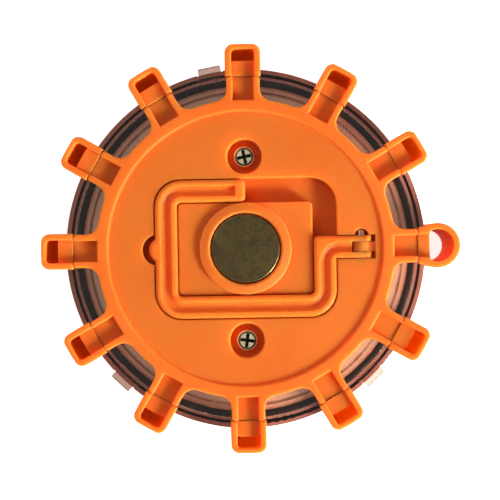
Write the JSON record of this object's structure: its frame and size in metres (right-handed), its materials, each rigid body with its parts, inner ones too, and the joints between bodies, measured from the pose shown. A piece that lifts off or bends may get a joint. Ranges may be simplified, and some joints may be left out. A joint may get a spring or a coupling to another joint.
{
  "type": "led safety flare",
  "caption": "Round orange LED road flare with a clear sealed rim behind radial bumpers, back magnet, fold-out hook, hanging loop and front push button.",
  "frame": {"origin": "where the flare's own axis meets the plane of its front face, on which it lies", "axes": "+Z along the flare's axis, out of the back cover with the hook and the magnet; +X towards the hanging loop"},
  "size_m": [0.1106, 0.108, 0.033],
  "materials": {
    "orange_plastic": "satin, finely spark-eroded moulding",
    "clear_plastic": "polished clear plastic with a slight pink tint",
    "nickel_plate": "nickel plated",
    "zinc_steel": "zinc plated",
    "screw_steel": "zinc plated, slightly yellow",
    "pin_steel": "ground",
    "black_rubber": "matt",
    "circuit_board": "white solder resist",
    "white_plastic": "glossy",
    "black_plastic": "fine texture",
    "button_rubber": "satin",
    "can_aluminium": "drawn can",
    "cell_jacket": "printed shrink jacket, plain",
    "red_led_epoxy": "tinted epoxy",
    "clear_led_epoxy": "water-clear epoxy"
  },
  "bodies": {
    "housing": {"front_cover": "orange_plastic", "back_cover": "orange_plastic", "lens_front": "clear_plastic", "lens_back": "clear_plastic", "magnet": "nickel_plate", "case_screws": "screw_steel", "hinge_pin": "pin_steel", "magnet_keeper": "zinc_steel", "screw_seals": "black_rubber", "housing_seal": "black_rubber", "main_board": "circuit_board", "reflector": "white_plastic", "switch_body": "black_plastic", "button_seal": "black_rubber", "battery_tray": "black_plastic", "board_screws": "screw_steel", "led_resistors": "black_plastic", "controller_chip": "black_plastic", "capacitor": "can_aluminium", "battery_1": "cell_jacket", "battery_2": "cell_jacket", "battery_3": "cell_jacket", "contact_springs": "nickel_plate", "contact_negative": "nickel_plate", "contact_bridge_a": "nickel_plate", "contact_bridge_b": "nickel_plate", "contact_positive": "nickel_plate", "side_led_01": "red_led_epoxy", "side_led_02": "red_led_epoxy", "side_led_03": "red_led_epoxy", "side_led_04": "red_led_epoxy", "side_led_05": "red_led_epoxy", "side_led_06": "red_led_epoxy", "side_led_07": "red_led_epoxy", "side_led_08": "red_led_epoxy", "side_led_09": "red_led_epoxy", "side_led_10": "red_led_epoxy", "side_led_11": "red_led_epoxy", "side_led_12": "red_led_epoxy", "front_led_1": "clear_led_epoxy", "front_led_2": "clear_led_epoxy", "front_led_3": "clear_led_epoxy"},
    "hook": {"hook": "orange_plastic"},
    "button": {"power_button": "button_rubber"},
    "plunger": {"switch_plunger": "black_plastic"}
  },
  "joints": [
    {"name": "hook_hinge", "type": "hinge", "parent": "housing", "child": "hook", "pos_m": [0.0306, 0, 0.0304], "axis": [0, 1, 0], "range_deg": [0, 115]},
    {"name": "button_press", "type": "slide", "parent": "housing", "child": "button", "axis": [0, 0, 1], "range_m": [0, 0.0006], "stiffness_N_per_m": 1500, "springref_m": -0.0008},
    {"name": "plunger_press", "type": "slide", "parent": "housing", "child": "plunger", "axis": [0, 0, 1], "range_m": [0, 0.0006]}
  ],
  "couplings": [
    {"joint": "plunger_press", "follows": "button_press", "ratio": 1}
  ]
}
